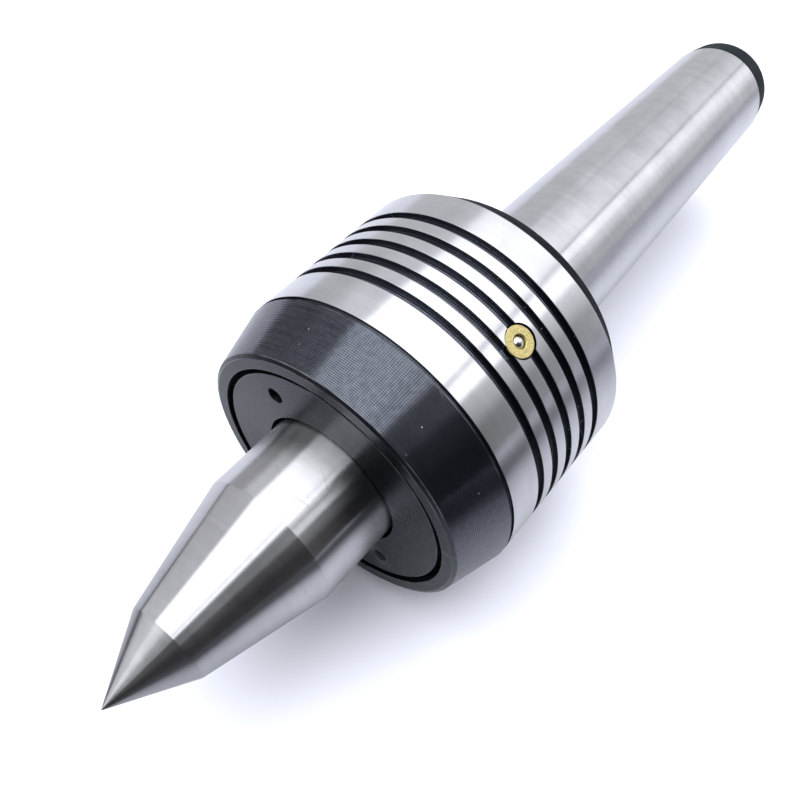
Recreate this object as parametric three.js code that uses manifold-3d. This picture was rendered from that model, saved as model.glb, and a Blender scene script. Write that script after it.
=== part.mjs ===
// Revolving (live) centre on a Morse 4 taper shank, in millimetres, +Z up.
//
// The axis is X: the 60 degree point is at -X and the shank's tail at +X. The origin is on the axis
// in the gauge plane of the Morse taper. The body lies with its ball oiler up and towards -Y.
// Each mesh is one physical piece. Pieces that would touch keep a small gap.

import * as THREE from "three";
import { mergeVertices } from "three/addons/utils/BufferGeometryUtils.js";
import Module from "manifold-3d";

// ---------------------------------------------------------------- driving dimensions

const GAP = 0.3; // between pieces that seat on each other
const STEEL_SEGMENTS = 36; // facets round the body, spindle and cover
const RACE_SEGMENTS = 24; // facets round the pieces inside
const SMALL_SEGMENTS = 16; // facets round the oiler
const HOLE_SEGMENTS = 12; // facets round the spanner holes and the balls' pockets
const BALL_FACETS = [8, 6]; // round and down a bearing ball
const OILER_BALL_FACETS = [12, 8];
const NEEDLE_SEGMENTS = 8;
const OVERCUT = 5; // how far a cutting tool runs past the face it enters

// Morse 4 taper shank
const GAUGE_R = 31.267 / 2;
const TAPER_PER_MM = 1 / 19.254 / 2; // radius lost per millimetre
const SHANK_START = -6.5; // the body's rear face stands off the gauge plane
const GROUND_END = 96.2;
const TAIL_X = 102.5;
const TAIL_R = 11.7;
const TAIL_STEP = 0.15; // the unground tail is a little under the taper
const TAIL_BAND = { length: 2.6, fall: 0.3 }; // its slower first stretch
const TAIL_ROUND = { length: 1, rise: 0.35 }; // its rounded corner
const CENTRE_HOLE = { mouthR: 5.2, r: 4.2, countersink: 0.5, depth: 7.8 };

// Body
const BODY_R = 32.2;
const BODY_LENGTH = 51.6;
const FACE_X = SHANK_START - BODY_LENGTH;
const FACE_R = 28.1;
const FACE_EDGE = 0.4; // bevel between the face and the cone
const CONE_START_R = 28.9;
const CONE_END_X = -46.4;
const UNDERCUT = { width: 0.85, depth: 0.55 };
const REAR_CHAMFER = { length: 4.5, r: 29 };
const GROOVE = { count: 5, first: -37.02, pitch: 4.553, width: 1.9, depth: 1.1 };

// Bores, from the front: cover thread, front bearing, thrust bearing, spindle, needle bearing
const THREAD_BORE_R = 25.84;
const FRONT_BORE_R = 23.6;
const THRUST_BORE_R = 21.7;
const PASSAGE_R = 11.6;
const NEEDLE_BORE_R = 10.8;
const NEEDLE_BORE_END = 19.5;
const NEEDLE_BORE_LEAD = 1; // bore ahead of the needle cup
const DRILL_POINT = 6.5; // cone at the end of the bore

// Cover nut, closed by a face spanner
const COVER = { recess: 0.3, length: 7.5, holeR: 14.8, faceR: 24.67, r: 25.45, chamfer: 0.7 };
const SPANNER_HOLE = { count: 2, r: 1.6, circleR: 19.8, depth: 4.5, clock: -35 };
const SEAL = { length: 3.3, outerR: 17.2, frontR: 15.3, backR: 16 };
const SEAL_LIP = { r: 14.25, rootR: 15.6, root: 1.2, back: 1.5, front: 2 }; // from the seal's back

// Spindle
const NOSE_R = 14;
const TIP_X = -111.1;
const POINT = { r: 8, x: -97.41, bluntR: 0.12, blunt: 0.05 };
const NOSE_START = -73.9;
const JOURNAL_R = 12.5;
const RELIEF = { r: 10.3, start: 1.5 }; // start is counted from the thrust bearing
const TAIL_JOURNAL = { r: 7.4, lead: 2, chamfer: 1 };
const SPINDLE_END = 15.5;

// Rolling bearings
const RACE_CLEARANCE = 0.33; // between a ball and its race groove
const POCKET_CLEARANCE = 0.25; // between a ball and its cage
const GROOVE_STEPS = 4;

// Front deep groove ball bearing, 25 x 47 x 12
const FRONT = { length: 11.8, balls: 10, ballR: 3, pitchR: 18, innerLand: 15.9, outerLand: 20.1 };
const FRONT_CAGE = { length: 8.6, innerR: 17.1, outerR: 18.9 };
const FRONT_X = FACE_X + COVER.recess + COVER.length + GAP;
const FRONT_END = FRONT_X + FRONT.length;
const FRONT_MIDDLE = FRONT_X + FRONT.length / 2;

// Snap ring behind that bearing, and the sleeve over it
const RING_GROOVE = { x: FRONT_END + GAP, width: 1.5, r: 11.7 };
const SNAP_RING = { thickness: 1.1, outerR: 14.3, clearance: 0.2, halfOpening: 18 };
const SLEEVE = { r: 15.9, pocketR: 14.7, pocketExtra: 0.4 };

// Thrust ball bearing, 25 x 42 x 11, preloaded by two disc springs
const THRUST = { washer: 3.2, length: 11, balls: 12, ballR: 2.85, pitchR: 16.75 };
const THRUST_CAGE = { length: 1.8, innerR: 13.1, outerR: 20.4 };
const SHAFT_WASHER_R = 20.9;
const HOUSING_WASHER = { innerR: 13.1, outerR: 21.4 };
const THRUST_X = -31.5;
const THRUST_END = THRUST_X + THRUST.length;
const THRUST_MIDDLE = THRUST_X + THRUST.length / 2;
const DISC_SPRING = { innerR: 13.5, outerR: 21.2, thickness: 1.2, rise: 0.6 };

// Drawn cup needle bearing, 15 x 21 x 16
const NEEDLE = { count: 12, r: 0.9, pitchR: 8.6, length: 12 };
const NEEDLE_CUP = { r: 10.5, length: 16, wall: 0.8, lipR: 8.1 };
const NEEDLE_CAGE = { overhang: 0.8, innerR: 8.2, outerR: 9.1 };
const NEEDLE_SLOT = { length: NEEDLE.length + 0.4, width: 2 * NEEDLE.r + 0.3, depth: 4 };
const NEEDLE_X = -3;
const NEEDLE_MIDDLE = NEEDLE_X + NEEDLE_CUP.length / 2;

// Ball oiler, on a radial line through the wall over the thrust bearing
const OILER = { x: -28.44, clock: 35.9, seatR: 26, faceR: 31.9, r: 2.85, holeR: 3.1 };
const OIL_DRILL = { r: 1.5, innerEnd: 18 };
const OILER_CUP = { boreR: 1.8, lipR: 1.45, lip: 0.55, floor: 0.8, drainR: 0.8 };
const OILER_BALL = { r: 1.48, centreR: 30.55 };
const OILER_SPRING = { turns: 2.5, meanR: 1.05, wireR: 0.2, base: 27.4, top: 28.8 };
const COIL_FACETS = { steps: 25, curveSegments: 3 };

// ---------------------------------------------------------------- materials

const steel = (color, roughness) =>
  new THREE.MeshStandardMaterial({ color, roughness, metalness: 1 });

const MATERIAL = {
  ground: steel(0xbfc0c8, 0.3),
  black: steel(0x23262c, 0.42),
  bearing: steel(0xd0d2d6, 0.15),
  cage: steel(0xa9a08c, 0.4),
  spring: steel(0x6f7378, 0.35),
  brass: steel(0xb9a867, 0.4),
  rubber: new THREE.MeshStandardMaterial({ color: 0x17181a, roughness: 0.7, metalness: 0 }),
};

// ---------------------------------------------------------------- solids and booleans

const wasm = await Module();
wasm.setup();

// A closed geometry with shared vertices and no collapsed triangles.
function welded(geometry) {
  const bare = geometry.clone();
  bare.deleteAttribute("normal");
  bare.deleteAttribute("uv");
  const merged = mergeVertices(bare, 1e-4);
  const index = merged.index.array;
  const kept = [];
  for (let i = 0; i < index.length; i += 3) {
    const [a, b, c] = [index[i], index[i + 1], index[i + 2]];
    if (a !== b && b !== c && c !== a) kept.push(a, b, c);
  }
  merged.setIndex(kept);
  return merged;
}

function toSolid(geometry) {
  const closed = welded(geometry);
  return new wasm.Manifold(
    new wasm.Mesh({
      numProp: 3,
      vertProperties: new Float32Array(closed.attributes.position.array),
      triVerts: new Uint32Array(closed.index.array),
    }),
  );
}

function toGeometry(solid) {
  const mesh = solid.getMesh();
  const geometry = new THREE.BufferGeometry();
  geometry.setAttribute("position", new THREE.BufferAttribute(mesh.vertProperties, 3));
  geometry.setIndex(new THREE.BufferAttribute(mesh.triVerts, 1));
  return geometry;
}

function cut(geometry, tools) {
  const body = tools.reduce((left, tool) => left.subtract(toSolid(tool)), toSolid(geometry));
  return toGeometry(body);
}

// ---------------------------------------------------------------- shapes

// A body turned about X from an outline of [x, radius] points that runs along +X on its outside.
function turned(outline, segments) {
  const points = outline.map(([x, r]) => new THREE.Vector2(r, x));
  const lathe = new THREE.LatheGeometry(points, segments);
  return welded(lathe.rotateZ(-Math.PI / 2));
}

const closed = (outline) => [...outline, outline[0]];

// A plain tube about X.
const tube = (x0, x1, innerR, outerR, segments) =>
  turned(closed([[x0, innerR], [x0, outerR], [x1, outerR], [x1, innerR]]), segments);

// A rod about X.
const rod = (x0, x1, r, segments) => turned([[x0, 0], [x0, r], [x1, r], [x1, 0]], segments);

// Points of an arc in the outline plane, from angle a0 to a1 in degrees (0 along +X).
function arc(x, r, radius, a0, a1, steps) {
  const points = [];
  for (let i = 0; i <= steps; i++) {
    const a = THREE.MathUtils.degToRad(a0 + ((a1 - a0) * i) / steps);
    points.push([x + radius * Math.cos(a), r + radius * Math.sin(a)]);
  }
  return points;
}

// Turns a shape made along +Z on the axis to a clock angle, counted about +X from straight up.
function atClock(geometry, degrees) {
  return geometry.clone().rotateX(THREE.MathUtils.degToRad(degrees));
}

// A shape turned about Z, its outline in [height, radius].
function turnedUp(outline, segments) {
  return turned(outline, segments).rotateY(-Math.PI / 2);
}

// Places a shape made along +Z on the axis at the oiler.
const atOiler = (geometry) => atClock(geometry.translate(OILER.x, 0, 0), OILER.clock);

const clocks = (count, start = 0) =>
  Array.from({ length: count }, (_, i) => start + (360 * i) / count);

// ---------------------------------------------------------------- body with its shank

const taperR = (x) => GAUGE_R - TAPER_PER_MM * x;

function grooveOutline(x) {
  const half = GROOVE.width / 2;
  const floor = BODY_R - GROOVE.depth;
  return [[x - half, BODY_R], [x - half, floor], [x + half, floor], [x + half, BODY_R]];
}

function bodyOutside() {
  const undercutEnd = CONE_END_X + UNDERCUT.width;
  const undercutR = BODY_R - UNDERCUT.depth;
  const outline = [
    [FACE_X, FACE_R],
    [FACE_X + FACE_EDGE, CONE_START_R],
    [CONE_END_X, BODY_R],
    [CONE_END_X, undercutR],
    [undercutEnd, undercutR],
    [undercutEnd, BODY_R],
  ];
  for (let i = 0; i < GROOVE.count; i++) {
    outline.push(...grooveOutline(GROOVE.first + i * GROOVE.pitch));
  }
  outline.push(
    [SHANK_START - REAR_CHAMFER.length, BODY_R],
    [SHANK_START, REAR_CHAMFER.r],
    [SHANK_START, taperR(SHANK_START)],
    [GROUND_END, taperR(GROUND_END)],
  );
  return outline;
}

// The black tail rounds in to its end face, which has a centre hole.
function tailOutline() {
  const start = taperR(GROUND_END) - TAIL_STEP;
  return [
    [GROUND_END, start],
    [GROUND_END + TAIL_BAND.length, start - TAIL_BAND.fall],
    [TAIL_X - TAIL_ROUND.length, TAIL_R + TAIL_ROUND.rise],
    [TAIL_X, TAIL_R],
    [TAIL_X, CENTRE_HOLE.mouthR],
    [TAIL_X - CENTRE_HOLE.countersink, CENTRE_HOLE.r],
    [TAIL_X - CENTRE_HOLE.depth, 0],
  ];
}

function bodyBore() {
  const seat = THRUST_END + 2 * (DISC_SPRING.thickness + DISC_SPRING.rise + GAP) + GAP;
  const front = FRONT_X - GAP;
  const shoulder = FRONT_END + GAP;
  const needleStart = NEEDLE_X - NEEDLE_BORE_LEAD;
  return [
    [NEEDLE_BORE_END + DRILL_POINT, 0],
    [NEEDLE_BORE_END, NEEDLE_BORE_R],
    [needleStart, NEEDLE_BORE_R],
    [needleStart, PASSAGE_R],
    [seat, PASSAGE_R],
    [seat, THRUST_BORE_R],
    [shoulder, THRUST_BORE_R],
    [shoulder, FRONT_BORE_R],
    [front, FRONT_BORE_R],
    [front, THREAD_BORE_R],
    [FACE_X, THREAD_BORE_R],
  ];
}

// A drill along Z between two heights.
const drillUp = (low, high, r, segments) =>
  turnedUp([[low, 0], [low, r], [high, r], [high, 0]], segments);

function oilerHole() {
  const seat = drillUp(OILER.seatR, BODY_R + OVERCUT, OILER.holeR, SMALL_SEGMENTS);
  const drill = drillUp(OIL_DRILL.innerEnd, OILER.seatR + GAP, OIL_DRILL.r, SMALL_SEGMENTS);
  return [seat, drill].map(atOiler);
}

function bodyShank() {
  // The outside runs from the face to the tail on the axis, the bore from its bottom to the face.
  const outside = turned([[FACE_X, 0], ...bodyOutside(), ...tailOutline()], STEEL_SEGMENTS);
  const bore = turned(
    [[FACE_X - OVERCUT, 0], [FACE_X - OVERCUT, THREAD_BORE_R], ...bodyBore().reverse()],
    STEEL_SEGMENTS,
  );
  return cut(outside, [bore, ...oilerHole()]);
}

// ---------------------------------------------------------------- cover nut and seal

function coverNut() {
  const x0 = FACE_X + COVER.recess;
  const x1 = x0 + COVER.length;
  const sealSeat = x1 - SEAL.length - 2 * GAP;
  const ring = turned(
    closed([
      [x0, COVER.holeR],
      [x0, COVER.faceR],
      [x0 + COVER.chamfer, COVER.r],
      [x1, COVER.r],
      [x1, SEAL.outerR + GAP],
      [sealSeat, SEAL.outerR + GAP],
      [sealSeat, COVER.holeR],
    ]),
    STEEL_SEGMENTS,
  );
  const hole = rod(x0 - OVERCUT, x0 + SPANNER_HOLE.depth, SPANNER_HOLE.r, HOLE_SEGMENTS);
  const holes = clocks(SPANNER_HOLE.count, SPANNER_HOLE.clock).map((clock) =>
    atClock(hole.clone().translate(0, 0, SPANNER_HOLE.circleR), clock),
  );
  return cut(ring, holes);
}

function frontSeal() {
  const x1 = FRONT_X - 2 * GAP;
  const x0 = x1 - SEAL.length + GAP;
  return turned(
    closed([
      [x0, SEAL.frontR],
      [x0, SEAL.outerR],
      [x1, SEAL.outerR],
      [x1, SEAL.backR],
      [x1 - SEAL_LIP.root, SEAL_LIP.rootR],
      [x1 - SEAL_LIP.back, SEAL_LIP.r],
      [x1 - SEAL_LIP.front, SEAL_LIP.r],
    ]),
    RACE_SEGMENTS,
  );
}

// ---------------------------------------------------------------- spindle and what is on it

function spindle() {
  const shoulder = FRONT_X - GAP;
  const relief = THRUST_END + RELIEF.start;
  const ringEnd = RING_GROOVE.x + RING_GROOVE.width;
  const journal = NEEDLE_X - TAIL_JOURNAL.lead;
  return turned(
    [
      [TIP_X, 0],
      [TIP_X + POINT.blunt, POINT.bluntR],
      [POINT.x, POINT.r],
      [NOSE_START, NOSE_R],
      [shoulder, NOSE_R],
      [shoulder, JOURNAL_R],
      [RING_GROOVE.x, JOURNAL_R],
      [RING_GROOVE.x, RING_GROOVE.r],
      [ringEnd, RING_GROOVE.r],
      [ringEnd, JOURNAL_R],
      [relief, JOURNAL_R],
      [relief, RELIEF.r],
      [journal, RELIEF.r],
      [journal, TAIL_JOURNAL.r],
      [SPINDLE_END - TAIL_JOURNAL.chamfer, TAIL_JOURNAL.r],
      [SPINDLE_END, TAIL_JOURNAL.r - TAIL_JOURNAL.chamfer],
      [SPINDLE_END, 0],
    ],
    STEEL_SEGMENTS,
  );
}

// An external snap ring without lugs, open over a small arc.
function retainingRing() {
  const innerR = RING_GROOVE.r + SNAP_RING.clearance;
  const open = THREE.MathUtils.degToRad(SNAP_RING.halfOpening);
  const shape = new THREE.Shape();
  shape.absarc(0, 0, SNAP_RING.outerR, open, 2 * Math.PI - open, false);
  shape.absarc(0, 0, innerR, 2 * Math.PI - open, open, true);
  shape.closePath();
  const flat = new THREE.ExtrudeGeometry(shape, {
    depth: SNAP_RING.thickness,
    bevelEnabled: false,
    curveSegments: RACE_SEGMENTS,
  });
  const x = RING_GROOVE.x + SNAP_RING.clearance;
  return welded(flat.rotateY(Math.PI / 2).translate(x, 0, 0));
}

// The sleeve bridges the snap ring and passes thrust from the front inner race to the shaft washer.
function spacerSleeve() {
  const x0 = FRONT_END + GAP;
  const x1 = THRUST_X - GAP;
  const pocket = x0 + RING_GROOVE.width + SLEEVE.pocketExtra;
  const bore = JOURNAL_R + GAP;
  return turned(
    closed([
      [x0, SLEEVE.pocketR],
      [x0, SLEEVE.r],
      [x1, SLEEVE.r],
      [x1, bore],
      [pocket, bore],
      [pocket, SLEEVE.pocketR],
    ]),
    RACE_SEGMENTS,
  );
}

// ---------------------------------------------------------------- rolling bearings

// Points of a race groove seen from the land, scooped out of it towards the ball's far side.
function scoop(x, landR, ballR, pitchR) {
  const side = Math.sign(landR - pitchR);
  const grooveR = ballR + RACE_CLEARANCE;
  const reach = Math.sqrt(grooveR ** 2 - (landR - pitchR) ** 2);
  const edge = THREE.MathUtils.radToDeg(Math.atan2(landR - pitchR, -reach));
  return arc(x, pitchR, grooveR, edge, side * 180 - edge, GROOVE_STEPS);
}

function frontRaces() {
  const [x0, x1] = [FRONT_X, FRONT_END];
  const bore = JOURNAL_R + GAP;
  const outerR = FRONT_BORE_R - GAP;
  const inner = [
    [x0, bore],
    [x0, FRONT.innerLand],
    ...scoop(FRONT_MIDDLE, FRONT.innerLand, FRONT.ballR, FRONT.pitchR),
    [x1, FRONT.innerLand],
    [x1, bore],
  ];
  const outer = [
    [x0, FRONT.outerLand],
    [x0, outerR],
    [x1, outerR],
    [x1, FRONT.outerLand],
    ...scoop(FRONT_MIDDLE, FRONT.outerLand, FRONT.ballR, FRONT.pitchR).reverse(),
  ];
  return [inner, outer].map((outline) => turned(closed(outline), RACE_SEGMENTS));
}

// A washer of the thrust bearing; side is +1 when its grooved face looks along +X. The groove is
// an arc about the balls' centres.
function thrustWasher(innerR, outerR, side) {
  const back = THRUST_MIDDLE - (side * THRUST.length) / 2;
  const face = back + side * THRUST.washer;
  const grooveR = THRUST.ballR + GAP;
  const half = THREE.MathUtils.radToDeg(Math.acos(Math.abs(face - THRUST_MIDDLE) / grooveR));
  const [start, end] = side > 0 ? [180 + half, 180 - half] : [-half, half];
  const groove = arc(THRUST_MIDDLE, THRUST.pitchR, grooveR, start, end, GROOVE_STEPS);
  const outline = [[back, innerR], [face, innerR], ...groove, [face, outerR], [back, outerR]];
  if (side > 0) outline.reverse();
  return turned(closed(outline), RACE_SEGMENTS);
}

function ballAt(x, pitchR, r, clock) {
  const ball = new THREE.SphereGeometry(r, ...BALL_FACETS);
  return atClock(welded(ball).translate(x, 0, pitchR), clock);
}

// A ring with a radial pocket for each ball.
function frontCage() {
  const { length, innerR, outerR } = FRONT_CAGE;
  const [x0, x1] = [FRONT_MIDDLE - length / 2, FRONT_MIDDLE + length / 2];
  const ring = tube(x0, x1, innerR, outerR, RACE_SEGMENTS);
  const pocketR = FRONT.ballR + POCKET_CLEARANCE;
  const pocket = drillUp(innerR - OVERCUT, outerR + OVERCUT, pocketR, HOLE_SEGMENTS);
  const pockets = clocks(FRONT.balls).map((clock) =>
    atClock(pocket.clone().translate(FRONT_MIDDLE, 0, 0), clock),
  );
  return cut(ring, pockets);
}

// A flat ring with a pocket through its faces for each ball.
function thrustCage() {
  const { length, innerR, outerR } = THRUST_CAGE;
  const [x0, x1] = [THRUST_MIDDLE - length / 2, THRUST_MIDDLE + length / 2];
  const ring = tube(x0, x1, innerR, outerR, RACE_SEGMENTS);
  const pocketR = THRUST.ballR + POCKET_CLEARANCE;
  const pocket = rod(x0 - OVERCUT, x1 + OVERCUT, pocketR, HOLE_SEGMENTS);
  const pockets = clocks(THRUST.balls).map((clock) =>
    atClock(pocket.clone().translate(0, 0, THRUST.pitchR), clock),
  );
  return cut(ring, pockets);
}

// A coned spring washer; the wide edge is at the end that rise points to.
function discSpring(x, rise) {
  const { innerR, outerR, thickness } = DISC_SPRING;
  const [a, b] = rise > 0 ? [0, rise] : [-rise, 0];
  const outline = [
    [x + a, innerR],
    [x + b, outerR],
    [x + b + thickness, outerR],
    [x + a + thickness, innerR],
  ];
  return turned(closed(outline), RACE_SEGMENTS);
}

function needleCup() {
  const { r, length, wall, lipR } = NEEDLE_CUP;
  const [x0, x1] = [NEEDLE_X, NEEDLE_X + length];
  return turned(
    closed([
      [x0, lipR],
      [x0, r],
      [x1, r],
      [x1, lipR],
      [x1 - wall, lipR],
      [x1 - wall, r - wall],
      [x0 + wall, r - wall],
      [x0 + wall, lipR],
    ]),
    RACE_SEGMENTS,
  );
}

function needleCage() {
  const half = NEEDLE.length / 2 + NEEDLE_CAGE.overhang;
  const [x0, x1] = [NEEDLE_MIDDLE - half, NEEDLE_MIDDLE + half];
  const ring = tube(x0, x1, NEEDLE_CAGE.innerR, NEEDLE_CAGE.outerR, RACE_SEGMENTS);
  const slot = new THREE.BoxGeometry(NEEDLE_SLOT.length, NEEDLE_SLOT.width, NEEDLE_SLOT.depth);
  const slots = clocks(NEEDLE.count).map((clock) =>
    atClock(slot.clone().translate(NEEDLE_MIDDLE, 0, NEEDLE.pitchR), clock),
  );
  return cut(ring, slots);
}

function needleAt(clock) {
  const half = NEEDLE.length / 2;
  const roller = rod(NEEDLE_MIDDLE - half, NEEDLE_MIDDLE + half, NEEDLE.r, NEEDLE_SEGMENTS);
  return atClock(roller.translate(0, 0, NEEDLE.pitchR), clock);
}

// ---------------------------------------------------------------- ball oiler

// A cup whose lip holds the ball and whose floor lets the oil through.
function oilerCup() {
  const { boreR, lipR, lip, floor, drainR } = OILER_CUP;
  const [low, high] = [OILER.seatR + GAP, OILER.faceR];
  const outline = [
    [low, drainR],
    [low, OILER.r],
    [high, OILER.r],
    [high, lipR],
    [high - lip, lipR],
    [high - lip, boreR],
    [low + floor, boreR],
    [low + floor, drainR],
  ];
  return atOiler(turnedUp(closed(outline), SMALL_SEGMENTS));
}

function oilerBall() {
  const ball = new THREE.SphereGeometry(OILER_BALL.r, ...OILER_BALL_FACETS);
  return atOiler(welded(ball).translate(0, 0, OILER_BALL.centreR));
}

class Coil extends THREE.Curve {
  getPoint(t, target = new THREE.Vector3()) {
    const { turns, meanR, base, top } = OILER_SPRING;
    const a = 2 * Math.PI * turns * t;
    return target.set(meanR * Math.cos(a), meanR * Math.sin(a), base + (top - base) * t);
  }
}

function oilerSpring() {
  const section = new THREE.Shape();
  section.absarc(0, 0, OILER_SPRING.wireR, 0, 2 * Math.PI, false);
  const wire = new THREE.ExtrudeGeometry(section, {
    ...COIL_FACETS,
    extrudePath: new Coil(),
  });
  return atOiler(welded(wire));
}

// ---------------------------------------------------------------- assembly

const liveCenter = new THREE.Group();
liveCenter.name = "live_center";

function add(name, geometry, material) {
  const mesh = new THREE.Mesh(geometry, material);
  mesh.name = name;
  liveCenter.add(mesh);
}

const numbered = (stem, i) => `${stem}_${String(i + 1).padStart(2, "0")}`;

add("body_shank", bodyShank(), MATERIAL.ground);
add("cover_nut", coverNut(), MATERIAL.black);
add("front_seal", frontSeal(), MATERIAL.rubber);
add("spindle", spindle(), MATERIAL.ground);
add("retaining_ring", retainingRing(), MATERIAL.spring);
add("spacer_sleeve", spacerSleeve(), MATERIAL.bearing);

const [frontInner, frontOuter] = frontRaces();
add("front_inner_race", frontInner, MATERIAL.bearing);
add("front_outer_race", frontOuter, MATERIAL.bearing);
add("front_cage", frontCage(), MATERIAL.cage);
clocks(FRONT.balls).forEach((clock, i) => {
  const ball = ballAt(FRONT_MIDDLE, FRONT.pitchR, FRONT.ballR, clock);
  add(numbered("front_ball", i), ball, MATERIAL.bearing);
});

const shaftWasher = thrustWasher(JOURNAL_R + GAP, SHAFT_WASHER_R, 1);
const housingWasher = thrustWasher(HOUSING_WASHER.innerR, HOUSING_WASHER.outerR, -1);
add("thrust_shaft_washer", shaftWasher, MATERIAL.bearing);
add("thrust_housing_washer", housingWasher, MATERIAL.bearing);
add("thrust_cage", thrustCage(), MATERIAL.cage);
clocks(THRUST.balls).forEach((clock, i) => {
  const ball = ballAt(THRUST_MIDDLE, THRUST.pitchR, THRUST.ballR, clock);
  add(numbered("thrust_ball", i), ball, MATERIAL.bearing);
});

const firstDisc = THRUST_END + GAP;
const secondDisc = firstDisc + DISC_SPRING.thickness + DISC_SPRING.rise + GAP;
add("disc_spring_front", discSpring(firstDisc, DISC_SPRING.rise), MATERIAL.spring);
add("disc_spring_rear", discSpring(secondDisc, -DISC_SPRING.rise), MATERIAL.spring);

add("needle_cup", needleCup(), MATERIAL.bearing);
add("needle_cage", needleCage(), MATERIAL.cage);
clocks(NEEDLE.count).forEach((clock, i) => {
  add(numbered("needle", i), needleAt(clock), MATERIAL.bearing);
});

add("oiler_cup", oilerCup(), MATERIAL.brass);
add("oiler_ball", oilerBall(), MATERIAL.bearing);
add("oiler_spring", oilerSpring(), MATERIAL.spring);

export default liveCenter;
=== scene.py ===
"""A live centre on a Morse 4 shank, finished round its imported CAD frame.

The axis is X, the point is at -X and Z is up. Every outline is a list of (x, radius) in millimetres that
runs with the metal on its right, so its outside runs along +X.
"""

import math

import bpy
from mathutils import Matrix, Vector
from mathutils.geometry import interpolate_bezier


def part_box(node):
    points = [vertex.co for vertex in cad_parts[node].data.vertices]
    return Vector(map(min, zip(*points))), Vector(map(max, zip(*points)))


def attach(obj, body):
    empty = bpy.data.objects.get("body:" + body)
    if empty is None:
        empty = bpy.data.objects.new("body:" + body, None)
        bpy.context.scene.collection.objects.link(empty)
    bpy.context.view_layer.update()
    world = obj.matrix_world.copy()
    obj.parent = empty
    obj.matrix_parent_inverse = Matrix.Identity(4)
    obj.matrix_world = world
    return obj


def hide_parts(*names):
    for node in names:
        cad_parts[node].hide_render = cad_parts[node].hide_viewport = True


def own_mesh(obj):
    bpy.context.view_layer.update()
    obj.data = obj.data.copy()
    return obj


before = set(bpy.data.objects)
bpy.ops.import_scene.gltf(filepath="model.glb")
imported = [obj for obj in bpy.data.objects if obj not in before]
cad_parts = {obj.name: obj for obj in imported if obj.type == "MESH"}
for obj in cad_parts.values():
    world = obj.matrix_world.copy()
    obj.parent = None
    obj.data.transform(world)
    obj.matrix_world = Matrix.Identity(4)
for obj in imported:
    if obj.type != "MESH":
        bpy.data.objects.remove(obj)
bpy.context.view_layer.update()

# ---- sizes, in millimetres

MM = 0.001
ROUND = 240  # facets round the body and the spindle
INNER_ROUND = 96  # facets round the pieces inside
SMALL_ROUND = 64  # facets round the bearings' balls
NEEDLE_ROUND = 32

BODY_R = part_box("body_shank")[1].z / MM
FACE_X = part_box("body_shank")[0].x / MM
TAIL_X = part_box("body_shank")[1].x / MM
TIP_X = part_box("spindle")[0].x / MM
SPINDLE_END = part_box("spindle")[1].x / MM

SHANK_START = -6.5
GAUGE_R = 31.267 / 2
TAPER_PER_MM = 1 / 19.254 / 2
GROUND_END = 96.2
TAIL_STEP = 0.15
TAIL_R = 11.7
TAIL_BAND = {"length": 2.6, "drop": 0.3}
TAIL_ROUND = {"r": 0.9, "rise": 0.5, "start": 78}
CENTRE_HOLE = {"mouth": 5.2, "r": 4.2, "chamfer": 0.5, "depth": 7.8}

FACE_R = 28.1
CONE_START = (FACE_X + 0.4, 28.9)
CONE_END_X = -46.4
UNDERCUT = {"width": 0.85, "depth": 0.55}
REAR_CHAMFER = {"length": 4.5, "r": 29.0}
GROOVE = {"count": 5, "first": -37.02, "pitch": 4.553, "width": 1.9, "depth": 1.1}

THREAD = {"bore": 25.84, "crest": 25.79, "pitch": 1.5, "depth": 0.6, "step": 0.125, "run_out": 0.5}
THREAD_ROOT = (1.15, 1.3)  # how wide and how steep the thread's valley is
THREAD_INSET = 0.3  # the threaded stretches reach at least this near their ends
BEARING_SEAT_X = -50.3
THRUST_SEAT_X = -37.9
PASSAGE_X = -16
NEEDLE_SEAT_X = -4
NEEDLE_BORE_END = 19.5
BORE_TIP = 26
BEARING_BORE_R = 23.6
THRUST_BORE_R = 21.7
PASSAGE_R = 11.6
NEEDLE_BORE_R = 10.8

COVER = {"x": FACE_X + 0.3, "length": 7.5, "hole": 14.8, "face": 24.67, "gap": 1.3, "seal": 17.5, "lip": 3.9}
COVER_GAP = {"widening": 0.2, "run": 0.7}
SPANNER = {"r": 1.6, "circle": 19.8, "depth": 4.5, "clocks": (-35, 145), "point": 0.9}
SEAL = {"x": -50.6, "length": 3.0, "r": 17.2}

NOSE_R = 14.0
NOSE_START = -73.9
POINT = (-97.41, 8.0)
JOURNAL_R = 12.5
RING_GROOVE = {"width": 1.5, "r": 11.7}
WAIST = {"x": -19, "r": 10.3}
NEEDLE_JOURNAL = {"x": -5, "r": 7.4, "chamfer": 1}

BALL_OILER = {"x": -28.44, "clock": 35.9, "hole": 3.25, "seat": 26.0, "face": 31.95, "r": 3.02}
OIL_PORT = {"from": 18, "r": 1.5}
OILER_CUP = {"low": 26.3, "floor": 0.8, "port": 0.8, "inner": 1.8, "lip": 1.3, "lip_length": 0.55}
OILER_BALL = {"height": 30.55, "r": 1.48}

EASE = 0.14  # how far a machined corner is broken
SMALL_EASE = 0.08
RACE_EASE = 0.3  # bearing rings have rounder corners
CHAMFER_DEPTH = 0.14  # of the chamfers on the spanner holes and the oiler's cup
CHAMFER_WIDTH = 0.12
X_WAY = Vector((1, 0, 0))


def outward(clock):
    """The direction at a clock angle, counted about +X from straight up towards -Y."""
    angle = math.radians(clock)
    return Vector((0, -math.sin(angle), math.cos(angle)))


def add_object(name, data):
    made = bpy.data.objects.new(name, data)
    bpy.context.scene.collection.objects.link(made)
    return made


OILER_WAY = outward(BALL_OILER["clock"])
OILER_FOOT = X_WAY * BALL_OILER["x"]  # where its axis meets the centre's


# ---- camera

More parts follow.
